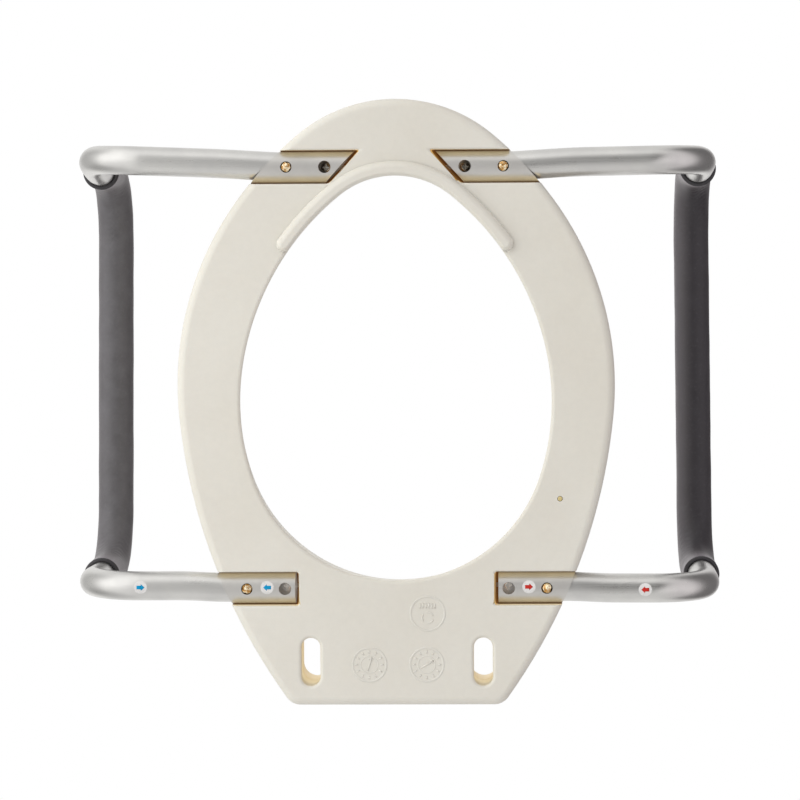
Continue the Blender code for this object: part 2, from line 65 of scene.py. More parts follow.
SLOT_Y = 0.210
SLOT_WIDTH = 0.0150
SLOT_LENGTH = 0.0385
SLOT_FLARE = 0.004
ARM_Z = 0.021
FRONT_Y = -0.1908
REAR_Y = 0.1507
SLEEVE_R = 0.0132
SLEEVE_BORE_R = 0.0124
CHANNEL_R = 0.0136
CHANNEL_CORNER = 0.0022
CHANNEL_LIP = 0.0018
FRONT_CHANNEL_IN = 0.0421
FRONT_CHANNEL_SLANT = 0.92
REAR_CHANNEL_IN = 0.0805
SLEEVE_END_GAP = 0.0018
RIM_GAP = 0.0004
BUTTON_X = {"front": 0.0878, "rear": 0.1215}
SCREW_X = {"front": 0.0567, "rear": 0.0906}
ARM_Y = {"front": FRONT_Y, "rear": REAR_Y}
ACCESS_R = 0.0050
BUTTON_HOLE_R = 0.0046
BUTTON_R = 0.0042
SCREW_HOLE_R = 0.0022
SCREW_HEAD_Z = 0.0301
SCREW_SEAT_Z = 0.0321
TUBE_R = 0.0118
TUBE_BORE_R = 0.0106
TUBE_PAST_BUTTON = 0.0158
LEG_X = {"front": 0.2512, "rear": 0.2530}
GRIP_Z = 0.201
LOW_BEND_R = 0.045
TOP_BEND_R = 0.055
FOAM_R = 0.0155
FOAM_BORE_R = 0.0121
FOAM_START_Z = 0.106
LEAN_START_X = {"front": 0.084, "rear": 0.138}
LEAN_RUN = {"front": 0.070, "rear": 0.040}
LEAN_STEP = {"front_left": 0.0012, "front_right": 0.0021, "rear_left": 0.0014, "rear_right": -0.0012}
LEAN_SLOPE = {"front_left": 0.039, "front_right": 0.0175, "rear_left": 0.0, "rear_right": -0.005}
LEAN_FULL_Z = 0.040
LEAN_END_Z = 0.104
SIDES = (("left", -1), ("right", 1))
ENDS = ("front", "rear")
FORWARD, REARWARD = (0.0, -1.0, 0.0), (0.0, 1.0, 0.0)
UP, DOWN = (0.0, 0.0, 1.0), (0.0, 0.0, -1.0)
PLUG_PLACE = (0.1324, 0.0782)
SCREW_SHANK_R = 0.0019
SCREW_ROOT_R = 0.0016
SCREW_HEAD_R = 0.0040
STICKER_R = 0.00535
MARK_RING_WIDTH = 0.0024
MARK_RING_HEIGHT = 0.00026


# ---- camera, world, lights and floor ----
def make_camera():
    data = bpy.data.cameras.new("camera")
    data.lens = 130.5
    data.sensor_width = 36.0
    data.shift_x = -0.0558
    data.shift_y = -0.1192
    camera = bpy.data.objects.new("camera", data)
    place = Vector((0.088, -0.120, BASE_Z - 2.340))
    aim = Vector((0.040, -0.079, BASE_Z))
    roll = 0.0048
    back = (place - aim).normalized()
    right = Vector((math.cos(roll), math.sin(roll), 0.0))
    right = (right - back * right.dot(back)).normalized()
    turn = Matrix((right, back.cross(right), back)).transposed()
    camera.matrix_world = Matrix.Translation(place) @ turn.to_4x4()
    bpy.context.scene.collection.objects.link(camera)
    bpy.context.scene.camera = camera


def area_light(name, place, aim, width, power):
    """A square white light that doesn't show in the metal."""
    data = bpy.data.lights.new(name, "AREA")
    data.shape = "SQUARE"
    data.size = width
    data.energy = power
    light = bpy.data.objects.new(name, data)
    light.location = place
    light.rotation_mode = "QUATERNION"
    light.rotation_quaternion = (Vector(aim) - Vector(place)).to_track_quat("-Z", "Y")
    light.visible_glossy = False
    bpy.context.scene.collection.objects.link(light)


def make_world():
    """Pale studio: brighter from the left, dimmer from the right, with a dark gap below."""
    world = bpy.data.worlds.new("studio")
    bpy.context.scene.world = world
    world.use_nodes = True
    tree = world.node_tree
    tree.nodes.clear()
    kit = Nodes(tree)
    path = kit.add("ShaderNodeLightPath").outputs
    toward = kit.add("ShaderNodeTexCoord").outputs["Generated"]
    axes = kit.axes(toward)

    def band(axis, low, high, to_low, to_high):
        """Goes smoothly from one level to another along an axis."""
        return kit.smooth(axes[axis], low, high, to_low, to_high)

    def patch(direction, edge, core, strength):
        """Strength round one direction, and 1 away from it."""
        aim = {0: toward, 1: Vector(direction).normalized()}
        near = kit.add("ShaderNodeVectorMath", aim, operation="DOT_PRODUCT")
        return kit.smooth(near.outputs["Value"], edge, core, 1.0, strength)

    def product(first, *others):
        for other in others:
            first = kit.math("MULTIPLY", first, other)
        return first

    def dimmed(level, amount):
        return product(level, kit.math("SUBTRACT", 1.0, amount))

    # The gap is a slanted dark strip straight below the object.
    gap_shift, gap_slant, gap_depth = 0.158, 2.5, 0.86
    shifted = kit.math("ADD", axes["Y"], gap_shift)
    across = kit.math("ADD", shifted, product(axes["X"], gap_slant))
    width = kit.smooth(kit.math("ABSOLUTE", across), 0.52, 1.0, 1.0, 0.0)
    below = band("Z", -0.85, -0.45, 1.0, 0.0)
    ends = product(band("X", -0.30, 0.08, 0.0, 1.0), band("X", 0.28, 0.52, 1.0, 0.0))
    level = dimmed(band("X", -0.9, 0.9, 1.08, 0.89), product(width, below, ends, gap_depth))
    level = product(
        level,
        patch((0.35, 0.80, -0.45), 0.75, 0.95, 0.85),
        patch((-0.60, 0.76, 0.15), 0.80, 0.96, 0.72),
        patch((-0.68, -0.58, -0.38), 0.50, 1.0, 1.52),
    )
    # Dark walls stand right and left above the object, and show mostly in its metal.
    height = product(band("Z", -0.25, 0.20, 0.0, 1.0), band("Z", 0.80, 1.0, 1.0, 0.0))
    sides = kit.math("ADD", band("X", 0.20, 0.48, 0.0, 0.80), band("X", -0.75, -0.40, 0.46, 0.0))
    shown = kit.ramp(path["Is Glossy Ray"], 0.0, 1.0, 0.62, 1.0)
    level = dimmed(level, product(height, sides, shown))
    level = product(level, band("Y", -0.75, 0.1, 0.88, 1.0), band("Y", 0.2, 0.8, 1.0, 0.92))
    warm, rosy = (1.0, 0.995, 0.985, 1.0), (1.0, 0.955, 0.975, 1.0)
    tinge = kit.mix(band("X", 0.0, 0.8, 0.0, 1.0), warm, rosy)
    glow = kit.add("ShaderNodeBackground", {"Strength": level, "Color": tinge})
    white = kit.add("ShaderNodeBackground", {"Color": (1.0, 1.0, 1.0, 1.0)})
    kit.choose(path["Is Camera Ray"], glow, white, "ShaderNodeOutputWorld")


def make_floor():
    """A pale floor just under the object, seen from above only: from below it is clear."""
    reach, z = 6.0, -0.0006
    corners = [(-reach, -reach, z), (reach, -reach, z), (reach, reach, z), (-reach, reach, z)]
    mesh = bpy.data.meshes.new("floor")
    mesh.from_pydata(corners, [], [(0, 1, 2, 3)])
    floor = bpy.data.objects.new("floor", mesh)
    bpy.context.scene.collection.objects.link(floor)
    material = bpy.data.materials.new("floor")
    material.use_nodes = True
    material.node_tree.nodes.clear()
    kit = Nodes(material.node_tree)
    paint = kit.add("ShaderNodeBsdfDiffuse", {"Color": (0.86, 0.86, 0.86, 1.0)})
    clear = kit.add("ShaderNodeBsdfTransparent")
    behind = kit.add("ShaderNodeNewGeometry").outputs["Backfacing"]
    kit.choose(behind, paint, clear, "ShaderNodeOutputMaterial")
    mesh.materials.append(material)
    floor.visible_diffuse = False
    floor.visible_glossy = False
    floor.visible_shadow = False


# ---- node helper ----
class Nodes:
    """Adds and links shader nodes in one tree."""

    def __init__(self, tree):
        self.tree = tree

    def add(self, kind, inputs=None, **settings):
        node = self.tree.nodes.new(kind)
        for key, value in settings.items():
            setattr(node, key, value)
        self.set_all(node, inputs or {})
        return node

    def set_all(self, node, inputs):
        """Links each input that has a socket for its value, and sets the others."""
        for key, value in inputs.items():
            if isinstance(value, bpy.types.NodeSocket):
                self.tree.links.new(value, node.inputs[key])
            else:
                node.inputs[key].default_value = value

    def axes(self, vector):
        return self.add("ShaderNodeSeparateXYZ", {"Vector": vector}).outputs

    def math(self, operation, *values):
        return self.add("ShaderNodeMath", dict(enumerate(values)), operation=operation).outputs[0]

    def mix(self, factor, first, second):
        inputs = {0: factor, 6: first, 7: second}
        return self.add("ShaderNodeMix", inputs, data_type="RGBA").outputs[2]

    def noise(self, vector, scale, detail=2.0, roughness=0.5):
        inputs = {"Vector": vector, "Scale": scale, "Detail": detail, "Roughness": roughness}
        return self.add("ShaderNodeTexNoise", inputs).outputs["Fac"]

    def stretch(self, vector, scale):
        return self.add("ShaderNodeMapping", {"Vector": vector, "Scale": scale}).outputs["Vector"]

    def ramp(self, value, low, high, to_low=0.0, to_high=1.0, kind="LINEAR"):
        limits = {"From Min": low, "From Max": high, "To Min": to_low, "To Max": to_high}
        inputs = {"Value": value, **limits}
        return self.add("ShaderNodeMapRange", inputs, interpolation_type=kind).outputs[0]

    def smooth(self, value, low, high, to_low, to_high):
        return self.ramp(value, low, high, to_low, to_high, "SMOOTHSTEP")

    def bump(self, height, distance, strength=1.0, normal=None):
        inputs = {"Height": height, "Distance": distance, "Strength": strength}
        if normal is not None:
            inputs["Normal"] = normal
        return self.add("ShaderNodeBump", inputs).outputs["Normal"]

    def choose(self, condition, otherwise, chosen, output_kind):
        """Sends one of two shaders to the tree's output."""
        inputs = {0: condition, 1: otherwise.outputs[0], 2: chosen.outputs[0]}
        pick = self.add("ShaderNodeMixShader", inputs)
        self.add(output_kind, {"Surface": pick.outputs[0]})


def new_material(name, metallic=0.0):
    material = bpy.data.materials.new(name)
    material.use_nodes = True
    kit = Nodes(material.node_tree)
    shader = material.node_tree.nodes["Principled BSDF"]
    kit.set_all(shader, {"Metallic": metallic})
    return material, shader, kit, kit.add("ShaderNodeTexCoord").outputs["Object"]


def colour(r, g, b):
    """A display colour, 0 to 255, as linear RGBA."""
    def linear(v):
        v /= 255.0
        return v / 12.92 if v <= 0.04045 else ((v + 0.055) / 1.055) ** 2.4
    return (linear(r), linear(g), linear(b), 1.0)


# ---- materials ----
def plastic_material(name, tint, warm, painted_recess=None):
    """Moulded polyethylene: a waxy sheen, faint mottling and fine pebble from the mould.

    Inside a recess, the last argument paints the light there: a painted glow for the light that soaks
    through the wall, and painted shade that turns the surface toward its dark tint. It gives the heights
    where the glow starts and where the shade turns dark, the glow's pale and dark colours and the
    shade's tint."""
    material, shader, kit, place = new_material(name)
    broad = kit.noise(place, 9.0, 3.0, 0.55)
    fine = kit.noise(place, 210.0, 2.0, 0.6)
    axes = kit.axes(place)
    shade = kit.mix(kit.ramp(broad, 0.35, 0.68), colour(*tint), colour(*warm))
    if painted_recess is not None:
        # Painted shade: higher up the recess the colour turns to its dark tint; a painted glow, an
        # emission, stands in for the light soaking through the wall.
        painted_shade = kit.smooth(axes["Z"], *painted_recess["turn"], 0.0, 1.0)
        shade = kit.mix(painted_shade, shade, colour(*painted_recess["tint"]))
        kit.set_all(shader, {
            "Emission Color": kit.mix(painted_shade, colour(*painted_recess["pale"]), colour(*painted_recess["dark"])),
            "Emission Strength": kit.smooth(axes["Z"], *painted_recess["start"], 0.0, 1.0),
        })
    speck = kit.ramp(fine, 0.30, 0.75, 0.985, 1.015)
    # Painted shade: the plastic is a little darker from the middle toward plus X, the side away from the
    # light.
    value = kit.math("MULTIPLY", speck, kit.smooth(axes["X"], -0.17, 0.0, 1.0, 0.96))
    hue = kit.add("ShaderNodeHueSaturation", {"Color": shade, "Value": value})
    pebble = kit.bump(fine, 0.00005, 0.35)
    kit.set_all(shader, {
        "Base Color": hue.outputs[0],
        "Roughness": kit.ramp(kit.noise(place, 55.0, 3.0), 0.3, 0.7, 0.40, 0.52),
        "IOR": 1.5,
        "Subsurface Weight": 0.12,
        "Subsurface Radius": (1.0, 0.85, 0.70),
        "Subsurface Scale": 0.002,
        "Normal": kit.bump(kit.noise(place, 22.0, 1.0), 0.0006, 0.25, pebble),
    })
    return material


def metal_material(name, tint, dull, rough, grain=(6.0, 900.0, 900.0), glow=0.0):
    """Drawn tube: fine lines along its length, smudges and a few small marks.

    Metal inside a hole can take a painted glow, an emission that stands in for the light that finds its
    way in."""
    material, shader, kit, place = new_material(name, metallic=1.0)
    lines = kit.noise(kit.stretch(place, grain), 1.0, 4.0, 0.7)
    smudge = kit.noise(place, 38.0, 3.0, 0.6)
    marks = kit.noise(kit.stretch(place, (140.0, 420.0, 420.0)), 1.0, 1.0, 0.4)
    drawn = kit.bump(lines, 0.00004, 0.45)
    even = kit.ramp(lines, 0.25, 0.75, rough - 0.05, rough + 0.06)
    kit.set_all(shader, {
        "Base Color": kit.mix(kit.ramp(smudge, 0.35, 0.70), colour(*tint), colour(*dull)),
        "Roughness": kit.math("ADD", even, kit.ramp(smudge, 0.3, 0.7, -0.02, 0.04)),
        "Normal": kit.bump(kit.ramp(marks, 0.66, 0.72), 0.00003, 0.5, drawn),
    })
    # Painted glow: an emission for the light that finds its way into a hole.
    if glow > 0.0:
        strength = kit.ramp(smudge, 0.3, 0.7, 0.7 * glow, 1.2 * glow)
        kit.set_all(shader, {"Emission Color": (1.0, 0.95, 0.90, 1.0), "Emission Strength": strength})
    return material


def brass_material():
    """Tumbled brass with small dents; its colour is painted light: cream on their crests as painted
    highlights and darker brown in the hollows as painted shade.
    """
    material, shader, kit, place = new_material("button_brass", metallic=1.0)
    dents = kit.noise(place, 430.0, 1.0, 0.4)
    kit.set_all(shader, {
        # Painted highlights and painted shade: cream where the dents rise, brown where they sink.
        "Base Color": kit.mix(kit.ramp(dents, 0.38, 0.62), colour(190, 142, 78), colour(255, 240, 206)),
        "Roughness": kit.ramp(dents, 0.3, 0.7, 0.20, 0.10),
        "Normal": kit.bump(dents, 0.0016, 1.0),
    })
    return material


def foam_material(name, tint, worn, dusty, centre_x, painted_lit_amount):
    """Closed-cell foam sleeve: a fine skin of cells; it is paler near its ends, a painted sheen of
    grazing light, and paler on its minus-X side, a painted lit side.
    """
    material, shader, kit, place = new_material(name)
    cells = kit.add("ShaderNodeTexVoronoi", {"Vector": place, "Scale": 1500.0})
    blotch = kit.noise(place, 60.0, 4.0, 0.6)
    dust = kit.noise(place, 420.0, 2.0, 0.6)
    axes = kit.axes(place)
    # Painted sheen: paler near the ends, where the legs catch the light at a grazing angle.
    painted_end_sheen = kit.smooth(axes["Z"], FOAM_START_Z + 0.002, FOAM_START_Z + 0.040, 0.55, 0.0)
    cut_face = kit.smooth(axes["Z"], FOAM_START_Z + 0.0016, FOAM_START_Z + 0.0045, 1.0, 0.0)
    # Painted light: paler on the minus-X side, toward the light.
    painted_lit_side = kit.smooth(axes["X"], centre_x - 0.015, centre_x, painted_lit_amount, 0.0)
    shade = kit.mix(kit.ramp(blotch, 0.35, 0.7), colour(*tint), colour(*worn))
    for amount, over in (
        (kit.ramp(dust, 0.55, 0.8, 0.0, 0.35), dusty),
        (painted_end_sheen, (136, 130, 137)),
        (painted_lit_side, (136, 131, 136)),
        (cut_face, (44, 42, 46)),
    ):
        shade = kit.mix(amount, shade, colour(*over))
    pits = kit.bump(cells.outputs["Distance"], 0.00012, 0.4)
    kit.set_all(shader, {
        "Base Color": shade,
        "Roughness": kit.ramp(blotch, 0.3, 0.7, 0.42, 0.52),
        "IOR": 1.5,
        "Sheen Weight": 0.12,
        "Sheen Roughness": 0.5,
        "Sheen Tint": (1.0, 0.93, 0.94, 1.0),
        "Normal": kit.bump(blotch, 0.0004, 0.3, pits),
    })
    return material


def ink_material(name, tint):
    """Printed vinyl: flat ink with a slight unevenness."""
    material, shader, kit, place = new_material(name)
    patch = kit.noise(place, 900.0, 2.0)
    ink = colour(*tint)
    dim = tuple(c * 0.88 for c in ink[:3]) + (1.0,)
    kit.set_all(shader, {
        "Base Color": kit.mix(kit.ramp(patch, 0.35, 0.65), ink, dim),
        "Roughness": kit.ramp(patch, 0.3, 0.7, 0.38, 0.48),
        "Specular IOR Level": 0.2,
        "Normal": kit.bump(patch, 0.00002, 0.3),
    })
    return material


# ---- mesh helpers ----
def finish_mesh(name, bm, materials, body=None, slot=None, replaces=(), smooth=True):
    bmesh.ops.recalc_face_normals(bm, faces=bm.faces)
    mesh = bpy.data.meshes.new(name)
    bm.to_mesh(mesh)
    bm.free()
    mesh.polygons.foreach_set("use_smooth", [smooth] * len(mesh.polygons))
    obj = bpy.data.objects.new(name, mesh)
    bpy.context.scene.collection.objects.link(obj)
    for material in materials:
        mesh.materials.append(material)
    if body:
        settle(obj, body, replaces)
    return obj


def settle(obj, body, replaces=()):
    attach(obj, body)
    if replaces:
        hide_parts(*replaces)


def around(centre, radius, angle):
    return (centre[0] + radius * math.cos(angle), centre[1] + radius * math.sin(angle))


def circle_points(centre, radius, count=72):
    return [around(centre, radius, 2 * math.pi * i / count) for i in range(count)]


def arc_points(centre, radius, count, start, turn):
    return [around(centre, radius, start + turn * i / (count - 1)) for i in range(count)]


def bridge(bm, lower, upper):
    """Joins two rings of vertices by a band of faces."""
    for i in range(len(lower)):
        j = (i + 1) % len(lower)
        bm.faces.new((lower[i], lower[j], upper[j], upper[i]))


def fan(bm, ring, tip):
    """Joins a ring of vertices to one vertex."""
    for i in range(len(ring)):
        bm.faces.new((ring[i], ring[(i + 1) % len(ring)], tip))


def loft(name, rings, materials=(), **kwargs):
    """A closed solid through rings of the same number of points."""
    bm = bmesh.new()
    rows = [[bm.verts.new(p) for p in ring] for ring in rings]
    for lower, upper in zip(rows, rows[1:]):
        bridge(bm, lower, upper)
    bm.faces.new(rows[0][::-1])
    bm.faces.new(rows[-1])
    return finish_mesh(name, bm, materials, **kwargs)


def apply_modifiers(obj):
    """Replaces the mesh by what its modifiers make of it."""
    graph = bpy.context.evaluated_depsgraph_get()
    mesh = bpy.data.meshes.new_from_object(obj.evaluated_get(graph))
    old = obj.data
    obj.modifiers.clear()
    obj.data = mesh
    bpy.data.meshes.remove(old)


def cut(obj, tools, operation="DIFFERENCE"):
    """Applies one Boolean per tool and removes the tools."""
    for tool in tools:
        modifier = obj.modifiers.new("cut", "BOOLEAN")
        modifier.operation = operation
        modifier.solver = "EXACT"
        modifier.object = tool
    apply_modifiers(obj)
    for tool in tools:
        bpy.data.objects.remove(tool, do_unlink=True)


def soften(obj, width, segments=3, angle=32.0):
    """Rounds the sharp edges and lets flat faces keep flat shading."""
    bevel = obj.modifiers.new("bevel", "BEVEL")
    bevel.width = width
    bevel.segments = segments
    bevel.limit_method = "ANGLE"
    bevel.angle_limit = math.radians(angle)
    bevel.use_clamp_overlap = True
    bevel.miter_outer = "MITER_ARC"
    normals = obj.modifiers.new("normals", "WEIGHTED_NORMAL")
    normals.keep_sharp = True
    normals.weight = 80
    apply_modifiers(obj)
    obj.data.polygons.foreach_set("use_smooth", [True] * len(obj.data.polygons))


def rod(name, radius, start, end, sides=64):
    """A straight solid cylinder between two points, as a cutting tool or a start for a piece."""
    start, end = Vector(start), Vector(end)
    turn = (end - start).to_track_quat("Z", "Y").to_matrix().to_4x4()
    place = Matrix.Translation((start + end) / 2) @ turn
    bm = bmesh.new()
    bmesh.ops.create_cone(
        bm, cap_ends=True, segments=sides, radius1=radius, radius2=radius,
        depth=(end - start).length, matrix=place,
    )
    return finish_mesh(name, bm, ())


def turned(name, profile, centre, steps, materials, **kwargs):
    """A solid of revolution about Z through centre; the profile runs from axis to axis."""
    bm = bmesh.new()
    rows = []
    for radius, z in profile:
        ring = circle_points(centre, radius, steps) if radius > 0.0 else [centre]
        rows.append([bm.verts.new((x, y, z)) for x, y in ring])
    for upper, lower in zip(rows, rows[1:]):
        if len(upper) == 1:
            fan(bm, lower, upper[0])
        elif len(lower) == 1:
            fan(bm, upper, lower[0])
        else:
            bridge(bm, upper, lower)
    return finish_mesh(name, bm, materials, **kwargs)


def quarter(radius, count):
    """Inset and height round a quarter circle, from the flat face to the wall."""
    steps = []
    for i in range(count + 1):
        angle = math.pi / 2 * i / count
        steps.append((radius * (1.0 - math.sin(angle)), radius * (1.0 - math.cos(angle))))
    return steps


# ---- outlines: chains of tangent arcs, as in the solids ----
def arc_chain(tip_y, radii, headings):
    """Centre, radius, start and end heading of each arc, from the front tip backward."""
    arcs = []
    x, y, start = 0.0, tip_y, 0.0
    for radius, end in zip(radii, headings):
        centre = (x - radius * math.sin(start), y + radius * math.cos(start))
        arcs.append((centre, radius, start, end))
        x = centre[0] + radius * math.sin(end)
        y = centre[1] - radius * math.cos(end)
        start = end
    return arcs


def arc_point(arc, heading, grow=0.0):
    centre, radius, _, _ = arc
    reach = radius + grow
    return centre[0] + reach * math.sin(heading), centre[1] - reach * math.cos(heading)


def outline_arcs():
    headings = [math.radians(h) for h in OUTLINE_HEADINGS]
    side = arc_chain(OUTLINE_TIP_Y, OUTLINE_RADII, headings)
    side_r, corner_r = OUTLINE_RADII[3], OUTLINE_RADII[4]
    _, y = arc_point(side[-1], headings[-1])
    flank_y = y + side_r * math.cos(headings[-1])
    turn = math.acos((flank_y + corner_r - REAR_EDGE_Y) / (side_r - corner_r))
    return arc_chain(OUTLINE_TIP_Y, OUTLINE_RADII, headings + [turn, math.pi])


def hole_arcs():
    headings = [math.radians(h) for h in HOLE_HEADINGS]
    front = arc_chain(HOLE_TIP_Y, HOLE_RADII, headings)
    x, _ = arc_point(front[-1], headings[-1])
    rear_r = x / math.sin(headings[-1])
    return arc_chain(HOLE_TIP_Y, HOLE_RADII + (rear_r,), headings + [math.pi])


def closed_outline(arcs, steps, grow, z):
    """Both mirrored halves as one ring; a straight rear edge closes a half that ends off centre."""
    half = [arc_point(arcs[0], 0.0, grow)]
    for arc, count in zip(arcs, steps):
        start, end = arc[2], arc[3]
        for i in range(1, count + 1):
            half.append(arc_point(arc, start + (end - start) * i / count, grow))
    edge_x, edge_y = half[-1]
    if edge_x > 0.001:
        half += [(edge_x * (1 - i / 8), edge_y) for i in range(1, 9)]
    points = half + [(-x, y) for x, y in half[-2:0:-1]]
    return [(x, y, z) for x, y in points]


# ---- riser ----
def outer_rings():
    """The outer wall from base to top, rounded at both ends, with a seam line half way up."""
    seam_z, seam_half, seam_swell = (BASE_Z + TOP_Z) / 2, 0.0008, 0.0002
    levels = [(-shrink, BASE_Z + height) for shrink, height in quarter(BASE_FILLET, 9)]
    levels += [(0.0, seam_z - seam_half), (seam_swell, seam_z), (0.0, seam_z + seam_half)]
    levels += [(-shrink, TOP_Z - height) for shrink, height in reversed(quarter(TOP_FILLET, 10))]
    return [closed_outline(outline_arcs(), OUTLINE_STEPS, grow, z) for grow, z in levels]


def hole_rings():
    """The opening with its rounded lips. It is wider at the top by its draft."""
    past, lip_gap = 0.004, 0.006
    wall_low, wall_high = BASE_Z + HOLE_LIP, TOP_Z - HOLE_LIP
    levels = [(HOLE_LIP, BASE_Z - past)]
    levels += [(flare, BASE_Z + height) for flare, height in quarter(HOLE_LIP, 7)]
    for z in (wall_low + lip_gap, wall_high - lip_gap):
        levels.append((HOLE_DRAFT * (z - wall_low) / (wall_high - wall_low), z))
    levels += [(HOLE_DRAFT + flare, TOP_Z - height) for flare, height in reversed(quarter(HOLE_LIP, 7))]
    levels.append((HOLE_DRAFT + HOLE_LIP, TOP_Z + past))
    return [closed_outline(hole_arcs(), HOLE_STEPS, grow, z) for grow, z in levels]


def rib_ring(inset_out, inset_in, z):
    """The rib's outline along the front of the opening, narrowed on its two sides."""
    arcs = hole_arcs()
    half_width = RIB_WIDTH / 2
    side = arcs[1]
    end = math.acos((side[0][1] - RIB_END_Y) / (side[1] + half_width))
    nose_end = arcs[0][3]
    headings = [nose_end * i / 22 for i in range(23)]
    headings += [nose_end + (end - nose_end) * i / 18 for i in range(1, 19)]

    def edge(grow):
        return [arc_point(arcs[0] if h <= nose_end else side, h, grow) for h in headings]

    outer = edge(RIB_WIDTH - inset_out)
    inner = edge(inset_in)
    cap_x, cap_y = arc_point(side, end, half_width)
    cap = []
    for i in range(1, 12):
        angle = end + math.pi * i / 12
        share = i / 12
        reach = half_width - inset_out * (1 - share) - inset_in * share
        cap.append((cap_x + reach * math.sin(angle), cap_y - reach * math.cos(angle)))
    right = outer + cap + inner[::-1]
    left = [(-x, y) for x, y in right[::-1]]
    return [(x, y, z) for x, y in right[:-1] + left[:-1]]


def rib_rings():
    """The rib falls steeply to the opening and more gently on its outer side."""
    outer_round, inner_round = 0.0058, 0.0030
    rings = [rib_ring(0.0, 0.0, BASE_Z + 0.0035), rib_ring(0.0, 0.0, BASE_Z)]
    for i in range(1, 9):
        angle = math.pi / 2 * i / 8
        inset = 1 - math.cos(angle)
        rings.append(rib_ring(outer_round * inset, inner_round * inset, BASE_Z * (1 - math.sin(angle))))
    return rings


def channel_end(end_name, y, grow=0.0):
    """How far from the middle a channel ends at y: square at the rear, slanted at the front."""
    if end_name == "rear":
        return REAR_CHANNEL_IN - grow
    slant = FRONT_CHANNEL_SLANT
    return FRONT_CHANNEL_IN + slant * (y - FRONT_Y) - grow * math.hypot(1.0, slant)


def channel_tool(name, sign, end_name):
    """A channel with a half-round roof, open outward; lip and inner corners are rounded."""
    y = ARM_Y[end_name]
    past_wall_x, floor_draft = 0.215, 0.0013
    lip = [(CHANNEL_LIP, BASE_Z - 0.004)]
    lip += [(flare, BASE_Z + height) for flare, height in quarter(CHANNEL_LIP, 7)]
    section = [(-CHANNEL_R, flare, z) for flare, z in lip]
    for i in range(25):
        angle = math.pi * i / 24
        section.append((-CHANNEL_R * math.cos(angle), 0.0, ARM_Z + CHANNEL_R * math.sin(angle)))
    section += [(CHANNEL_R, flare, z) for flare, z in reversed(lip)]
    rings = []
    for i in range(7):
        angle = math.pi / 2 * i / 6
        back = CHANNEL_CORNER * (1 - math.sin(angle))
        narrow = CHANNEL_CORNER * (1 - math.cos(angle)) / CHANNEL_R
        ring = []
        for side, flare, z in section:
            side_y = y + side * (1 - narrow) + math.copysign(flare, side)
            lean = floor_draft * min(1.0, max(0.0, (ARM_Z - z) / (ARM_Z - BASE_Z)))
            ring.append((sign * (channel_end(end_name, side_y, flare + lean) + back), side_y, z))
        rings.append(ring)
    rings.reverse()
    outer = [(y + side + math.copysign(flare, side), z) for side, flare, z in section]
    rings.append([(sign * past_wall_x, side_y, z) for side_y, z in outer])
    return loft(name, rings)


def slot_ring(x, grow, z):
    reach = SLOT_WIDTH / 2 + grow
    offset = (SLOT_LENGTH - SLOT_WIDTH) / 2
    points = arc_points((x, SLOT_Y + offset), reach, 17, 0.0, math.pi)
    points += arc_points((x, SLOT_Y - offset), reach, 17, math.pi, math.pi)
    return [(*point, z) for point in points]


def slot_tool(name, x):
    """The slot widens toward the seat side, with a faint mould line half way up."""
    def flare(z):
        return SLOT_FLARE * (z - BASE_Z) / (TOP_Z - BASE_Z)

    low_lip, high_lip, past = 0.0030, 0.0020, 0.004
    middle = (BASE_Z + TOP_Z) / 2
    levels = [(low_lip, BASE_Z - past)]
    levels += [(lip + flare(BASE_Z + height), BASE_Z + height) for lip, height in quarter(low_lip, 7)]
    for offset, ridge in ((-0.0009, 0.0), (0.0, 0.0004), (0.0009, 0.0)):
        levels.append((flare(middle + offset) - ridge, middle + offset))
    for lip, height in reversed(quarter(high_lip, 5)):
        levels.append((lip + flare(TOP_Z - height), TOP_Z - height))
    levels.append((high_lip + SLOT_FLARE, TOP_Z + past))
    return loft(name, [slot_ring(x, grow, z) for grow, z in levels])


def in_channel(point, corners):
    """True for a face on the wall of one of the four channels, clear of its lip.

    Faces of the outer wall beside a channel reach above or past it, so their corners rule them out."""
    slack = 0.0003
    widest, highest = CHANNEL_R + CHANNEL_LIP + slack, ARM_Z + CHANNEL_R + slack
    if not BASE_Z + 0.0011 < point.z < ARM_Z + 0.0135:
        return False
    for end_name in ENDS:
        y = ARM_Y[end_name]
        if any(abs(c.y - y) > widest or c.z > highest for c in corners):
            continue
        near = abs(point.x) > channel_end(end_name, point.y, 0.0016)
        if near and abs(point.y - y) < CHANNEL_R + 0.0002:
            return True
    return False


def in_slot(point):
    x = abs(abs(point.x) - BOLT_SPACING / 2)
    grow = SLOT_FLARE + 0.0003
    return x < SLOT_WIDTH / 2 + grow and abs(point.y - SLOT_Y) < SLOT_LENGTH / 2 + grow


